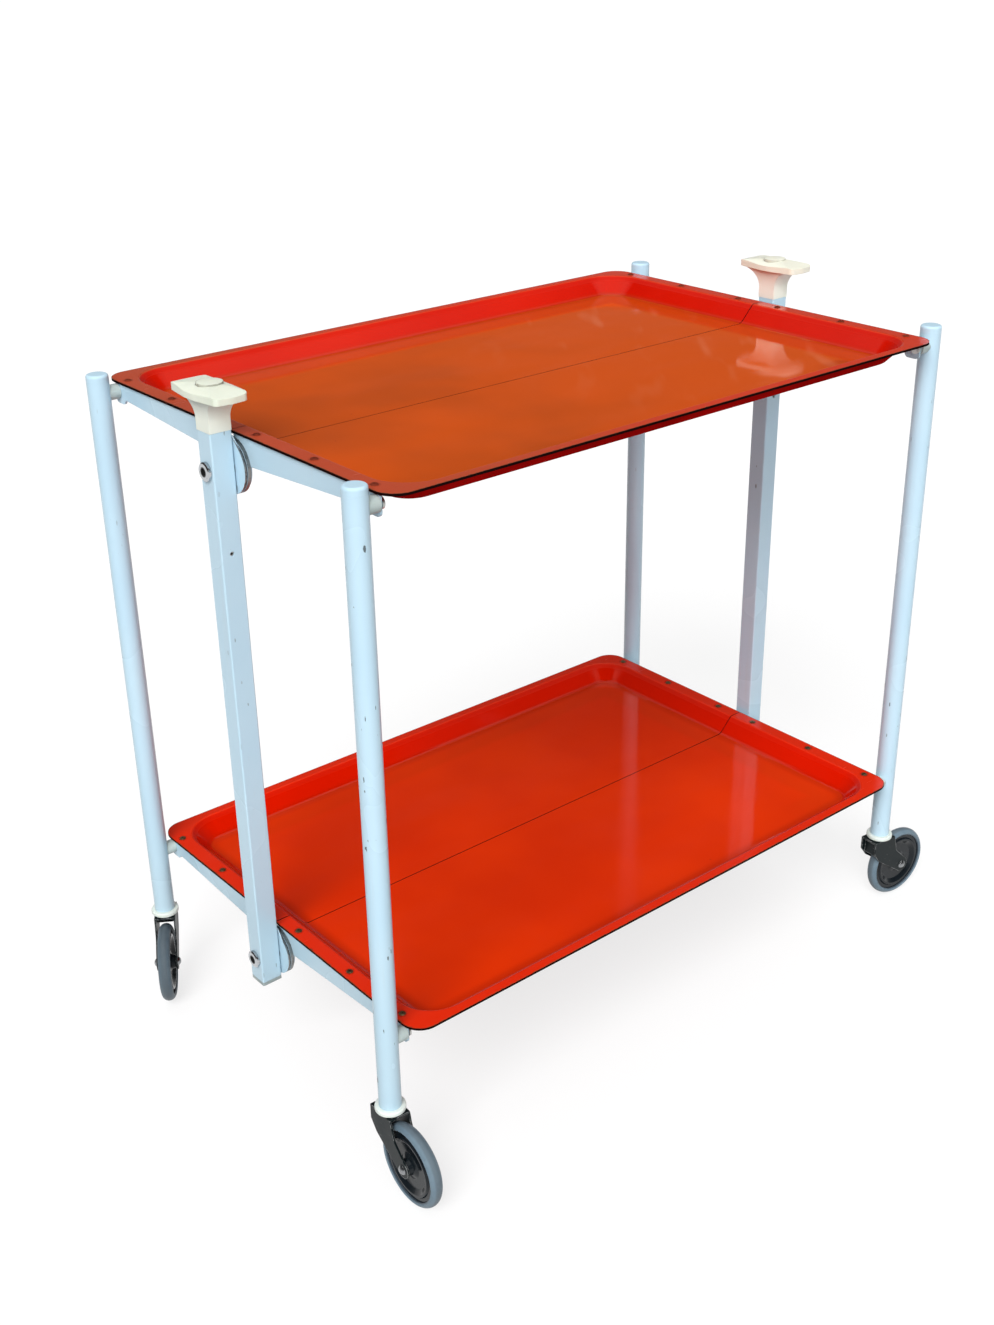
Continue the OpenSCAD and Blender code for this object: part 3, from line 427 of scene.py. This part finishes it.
def bolt_chrome():
    """Bright plating with stains, dark in the middle of the hinge bolts' heads."""
    s = Shader("bolt_chrome")
    p = s.place()
    _, y, z = s.split(p)
    from_bolt = s.least(*[s.vector("LENGTH", s.join(y, s.math("SUBTRACT", z, pivot), 0.0))
                          for pivot in (UPPER_PIVOT, LOWER_PIVOT)])
    # The bolt heads are dark within about 4 mm of their middle.
    socket = s.fade(from_bolt, 0.0040, 0.0046, 1.0, 0.0)
    stain = s.noise(p, 520.0, 4.0, 0.6)
    dark_marks = s.math("MAXIMUM", socket, s.fade(stain, 0.58, 0.75, 0.0, 0.35))
    s.set("Base Color", s.mix(dark_marks, (0.50, 0.52, 0.54), (0.014, 0.014, 0.014)))
    s.set("Metallic", s.mix_number(dark_marks, 1.0, 0.1))
    s.set("Roughness", s.mix_number(dark_marks, 0.14, 0.6))
    s.set("Normal", s.bump(stain, 0.00004, 0.5, s.rounded(0.0005)))
    return s.material


def fork_paint():
    """Black paint over pressed steel, worn bright along the edges and scuffed."""
    s = Shader("fork_paint")
    p = s.place()
    patch = s.noise(p, 130.0, 5.0, 0.65)
    edge = s.times(s.edges(0.0012, 0.02, 0.14), s.fade(patch, 0.42, 0.60))
    scuff = s.fade(s.noise(s.stretched(p, (120.0, 120.0, 520.0)), 1.0, 3.0, 0.6), 0.66, 0.74)
    bare = s.math("MAXIMUM", s.times(edge, 0.75), s.times(scuff, 0.20))
    dust = s.fade(s.noise(p, 44.0, 4.0, 0.6), 0.42, 0.75, 0.0, 0.55)
    colour = s.mix(dust, (0.004, 0.008, 0.009), (0.010, 0.015, 0.017))
    s.set("Base Color", s.mix(bare, colour, (0.55, 0.56, 0.56)))
    s.set("Metallic", s.times(bare, 0.5))
    s.set("Roughness", s.mix_number(bare, s.mix_number(dust, 0.38, 0.55), 0.34))
    s.set("Specular IOR Level", 0.18)
    s.set("Normal", s.bump(s.math("SUBTRACT", s.times(patch, 0.3), bare), 0.00010, 0.8, s.rounded(0.0008)))
    return s.material


def wheel_place(s, name):
    """The point, with its distances from the wheel's axle and from its middle plane, in metres."""
    sx, sy, swing = SWINGS[name]
    turn = math.radians(swing)
    centre = (sx * LEG_X + TRAIL * math.cos(turn), sy * LEG_Y + TRAIL * math.sin(turn), AXLE_Z)
    axis = (-math.sin(turn), math.cos(turn), 0.0)
    p = s.place()
    arm = s.vector("SUBTRACT", p, centre)
    along = s.vector("DOT_PRODUCT", arm, axis)
    radial = s.vector("LENGTH", s.vector("SUBTRACT", arm, s.vector("SCALE", axis, scale=along)))
    return p, radial, s.math("ABSOLUTE", along)


def tyre_rubber(name):
    """Grey-blue rubber: a moulding line on each side, dust, and a darker running band."""
    # Painted shade: the far-left tyre gets darker copies of the rubber's colours.
    painted_shade_tone = 0.62 if name == "far_left" else 1.0
    s = Shader(name + "_tyre_rubber")
    p, radial, side = wheel_place(s, name)
    cloud = s.noise(p, 60.0, 5.0, 0.6)
    rubber = [tuple(painted_shade_tone * c for c in shade) for shade in ((0.115, 0.170, 0.215), (0.150, 0.210, 0.255))]
    colour = s.mix(s.fade(cloud, 0.3, 0.7), *rubber)
    band = s.times(s.fade(radial, TYRE_R - 0.0016, TYRE_R - 0.0004), s.fade(side, 0.0020, 0.0052, 1.0, 0.0))
    dirt = s.most(s.times(band, 0.45), s.fade(s.noise(p, 300.0, 4.0, 0.65), 0.60, 0.76, 0.0, 0.40))
    colour = s.mix(dirt, colour, (0.070, 0.082, 0.090))
    foot = s.fade(radial, HUB_R + 0.0003, HUB_R + 0.0012, 1.0, 0.0)
    colour = s.mix(s.times(foot, 0.8), colour, (0.030, 0.040, 0.055))
    line = s.fade(s.math("ABSOLUTE", s.math("SUBTRACT", radial, TYRE_R - 0.0040)), 0.0002, 0.0006, 1.0, 0.0)
    s.set("Base Color", colour)
    s.set("Roughness", s.mix_number(cloud, 0.36, 0.55))
    height = s.math("SUBTRACT", s.times(s.noise(p, 900.0, 3.0), 0.12), s.times(line, 0.35))
    s.set("Normal", s.bump(height, 0.0003, 0.6))
    s.set("Specular IOR Level", 0.4)
    return s.material


def hub_plastic(name):
    """Glossy black moulding with turning marks, and dust that thins out towards its rim."""
    s = Shader(name + "_hub_plastic")
    p, radial, _ = wheel_place(s, name)
    rings = s.noise(s.join(s.times(radial, 2600.0), 0.0, 0.0), 1.0, 2.0)
    dust = s.times(s.fade(radial, 0.010, 0.026, 0.60, 0.10), s.fade(s.noise(p, 170.0, 5.0, 0.65), 0.42, 0.74))
    colour = s.mix(dust, (0.006, 0.009, 0.012), (0.024, 0.030, 0.032))
    s.set("Base Color", colour)
    s.set("Roughness", s.mix_number(dust, 0.14, 0.45))
    s.set("Normal", s.bump(rings, 0.00003, 0.5, s.rounded(0.0009)))
    s.set("Specular IOR Level", 0.14 if name == "far_left" else 0.24)
    return s.material


def dress(material, *names):
    for name in names:
        mesh = cad[name].data
        for index in range(max(1, len(mesh.materials))):
            if index < len(mesh.materials):
                mesh.materials[index] = material
            else:
                mesh.materials.append(material)


def dress_faces(material, names, wanted):
    """Gives the material to the faces for which wanted(centre, normal) holds."""
    for name in names:
        mesh = cad[name].data
        mesh.materials.append(material)
        for face in mesh.polygons:
            if wanted(face.center, face.normal):
                face.material_index = len(mesh.materials) - 1


def dress_trays():
    trays = [name for name in cad if name.endswith("_tray")]
    dress(tray_enamel(), *trays)
    # Painted shade: the downward faces of the trays get a darker red than their upper faces.
    underside_shade = dull_enamel("tray_underside_painted_shade", (0.46, 0.004, 0.003), (0.12, 0.014, 0.008), 0.5)
    edge = dull_enamel("tray_edge", (0.010, 0.003, 0.003), (0.075, 0.008, 0.005), 0.6)
    dress_faces(underside_shade, trays, lambda centre, normal: normal.z < -0.05)
    dress_faces(edge, trays, lambda centre, normal: abs(normal.z) < 0.05)


def dress_hinges():
    """Bare grey rims on the round hinge plates, where the enamel has worn off."""
    rim = metal("worn_plate_rim", (0.30, 0.31, 0.31), (0.06, 0.06, 0.06), 0.45, dirt_share=0.8)

    def wanted(centre, normal):
        across = min(math.hypot(centre.y, centre.z - pivot) for pivot in (UPPER_PIVOT, LOWER_PIVOT))
        return abs(normal.x) < 0.1 and HINGE_R - 0.001 < across < HINGE_R + 0.001

    dress_faces(rim, [name for name in cad if name.endswith("_arm")], wanted)


def dress_cad():
    white = frame_enamel()
    dress(white, "left_post", "right_post", "near_leg_caps", "far_leg_caps")
    dress(white, *[n for n in cad if n.endswith(("_arm", "_left_leg", "_right_leg"))])
    dress_hinges()
    dress_trays()
    cream = plastic("cream_plastic", (0.735, 0.770, 0.655), (0.680, 0.720, 0.605), 0.34,
                    tint=(0.800, 0.785, 0.665))
    dress(cream, "left_handle", "right_handle", "left_button", "right_button")
    dress(plastic("grey_plastic", (0.36, 0.42, 0.42), (0.27, 0.32, 0.32), 0.45), "post_end_caps")
    dress(plastic("bush_plastic", (0.50, 0.58, 0.56), (0.38, 0.45, 0.44), 0.40),
          "near_leg_bushes", "far_leg_bushes")
    dress(plastic("collar_plastic", (0.74, 0.80, 0.76), (0.66, 0.72, 0.66), 0.30),
          "near_caster_sockets", "far_caster_sockets")
    dress(plastic("black_plastic", (0.020, 0.022, 0.025), (0.032, 0.034, 0.038), 0.45), "pivot_washers")
    dress(bolt_chrome(), "pivot_bolts")
    steel = metal("plain_steel", (0.52, 0.52, 0.50), (0.16, 0.12, 0.09), 0.32, (1.0, 1.0, 0.1))
    dress(steel, "pivot_nuts", "roll_pins", "left_latch_bar", "right_latch_bar",
          "near_leg_pins", "far_leg_pins")
    dress(metal("caster_steel", (0.30, 0.31, 0.32), (0.04, 0.04, 0.04), 0.22, dirt_share=0.7),
          *[n for n in cad if n.endswith("_caster_pins")])
    dress(dull_enamel("painted_rivet", (0.17, 0.030, 0.016), (0.030, 0.010, 0.008), 0.4),
          "upper_near_rivets", "upper_far_rivets")
    dress(metal("olive_rivet", (0.30, 0.23, 0.12), (0.05, 0.04, 0.02), 0.38, dirt_share=0.7),
          "lower_near_rivets", "lower_far_rivets")
    dress(fork_paint(), *[n for n in cad if n.endswith("_fork")])
    for name in SWINGS:
        dress(tyre_rubber(name), name + "_tyre")
        dress(hub_plastic(name), name + "_hub")
    return steel


# ---------- pieces that replace a plain solid ----------


def new_piece(name, points, faces, material):
    mesh = bpy.data.meshes.new(name)
    mesh.from_pydata(points, [], faces)
    mesh.validate()
    for polygon in mesh.polygons:
        polygon.use_smooth = True
    mesh.materials.append(material)
    piece = bpy.data.objects.new(name, mesh)
    bpy.context.scene.collection.objects.link(piece)
    return piece


def tube(path, radius, sides=10):
    """Points and faces of a closed tube of the given radius along a path."""
    points, faces = [], []
    for i, centre in enumerate(path):
        ahead = path[min(i + 1, len(path) - 1)] - path[max(i - 1, 0)]
        u = ahead.cross(Vector((0.0, 0.0, 1.0))).normalized()
        v = ahead.cross(u).normalized()
        for k in range(sides):
            turn = 2 * math.pi * k / sides
            points.append(centre + radius * (math.cos(turn) * u + math.sin(turn) * v))
    for i in range(len(path) - 1):
        for k in range(sides):
            a, b = i * sides + k, i * sides + (k + 1) % sides
            faces.append((a, b, b + sides, a + sides))
    faces.append(tuple(range(sides))[::-1])
    faces.append(tuple((len(path) - 1) * sides + k for k in range(sides)))
    return points, faces


def coil_springs(material):
    """The latch springs as wound wire with closed ends, in place of each one's plain sleeve."""
    wire, coil_r, turns, steps = 0.0006, 0.0039, 9, 20
    dead = 1.0 / turns
    end_rise = 0.08
    low, high = SPRING_Z0 + wire, SPRING_Z1 - wire
    for side, name in ((-1, "left"), (1, "right")):
        path = []
        for i in range(turns * steps + 1):
            share = i / (turns * steps)
            rise = min(max((share - dead) / (1 - 2 * dead), 0.0), 1.0)
            close = min(share, dead) + max(share - 1 + dead, 0.0)
            z = low + (high - low) * (end_rise * close / dead + (1 - 2 * end_rise) * rise)
            turn = 2 * math.pi * turns * share
            path.append(Vector((side * POST_X + coil_r * math.cos(turn), coil_r * math.sin(turn), z)))
        points, faces = tube(path, wire)
        spring = new_piece(name + "_coil_spring", points, faces, material)
        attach(spring, "posts")
        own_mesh(spring)
        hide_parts(name + "_spring")


# ---------- studio ----------


def sun(name, direction, strength, angle, glossy=True):
    data = bpy.data.lights.new(name, "SUN")
    data.energy = strength
    data.angle = math.radians(angle)
    light = bpy.data.objects.new(name, data)
    light.visible_glossy = glossy
    light.rotation_euler = Vector(direction).to_track_quat("-Z", "Y").to_euler()
    bpy.context.scene.collection.objects.link(light)


def sky():
    """A world that is grey at the horizon, dark above it and white overhead."""
    world = bpy.data.worlds.new("studio")
    world.use_nodes = True
    tree = world.node_tree
    tree.nodes.clear()
    coords = tree.nodes.new("ShaderNodeTexCoord")
    parts = tree.nodes.new("ShaderNodeSeparateXYZ")
    ramp = tree.nodes.new("ShaderNodeValToRGB")
    back = tree.nodes.new("ShaderNodeBackground")
    out = tree.nodes.new("ShaderNodeOutputWorld")
    ramp.color_ramp.interpolation = "EASE"
    stops = ((0.0, 0.42), (0.12, 0.30), (0.26, 0.05), (0.68, 0.05), (0.86, 0.98), (1.0, 1.05))
    for i, (at, level) in enumerate(stops):
        element = ramp.color_ramp.elements[i] if i < 2 else ramp.color_ramp.elements.new(at)
        element.position = at
        element.color = (level, level, level, 1.0)
    tree.links.new(coords.outputs["Generated"], parts.inputs[0])
    tree.links.new(parts.outputs[2], ramp.inputs[0])
    tree.links.new(ramp.outputs[0], back.inputs[0])
    tree.links.new(back.outputs[0], out.inputs[0])
    bpy.context.scene.world = world


def pale_floor():
    """A matt floor that shows white to the camera and in reflections, and keeps the shadow."""
    s = Shader("floor", Roughness=0.9)
    s.set("Specular IOR Level", 0.0)
    path = s.node("ShaderNodeLightPath")
    rays = ("Is Camera Ray", "Is Glossy Ray", "Is Transmission Ray")
    seen = s.most(*[path.outputs[ray] for ray in rays])
    s.set("Base Color", (0.26, 0.26, 0.26))
    s.set("Emission Color", (1.0, 1.0, 1.0))
    s.set("Emission Strength", s.times(seen, 0.74))
    size = 60.0
    corners = [(-size, -size, 0), (size, -size, 0), (size, size, 0), (-size, size, 0)]
    floor = new_piece("floor", corners, [(0, 1, 2, 3)], s.material)
    floor.data.polygons[0].use_smooth = False


def studio():
    sun("key", (0.62, 0.40, -0.67), 2.75, 30, glossy=False)
    sun("fill", (0.20, 0.91, -0.20), 1.45, 50, glossy=False)
    sun("back", (-0.45, -0.80, -0.32), 0.65, 50, glossy=False)
    sun("glint", (0.42, 0.80, -0.42), 0.25, 12)
    sky()
    pale_floor()
    bpy.context.scene.view_settings.view_transform = "Standard"


make_camera()
steel = dress_cad()
coil_springs(steel)
studio()
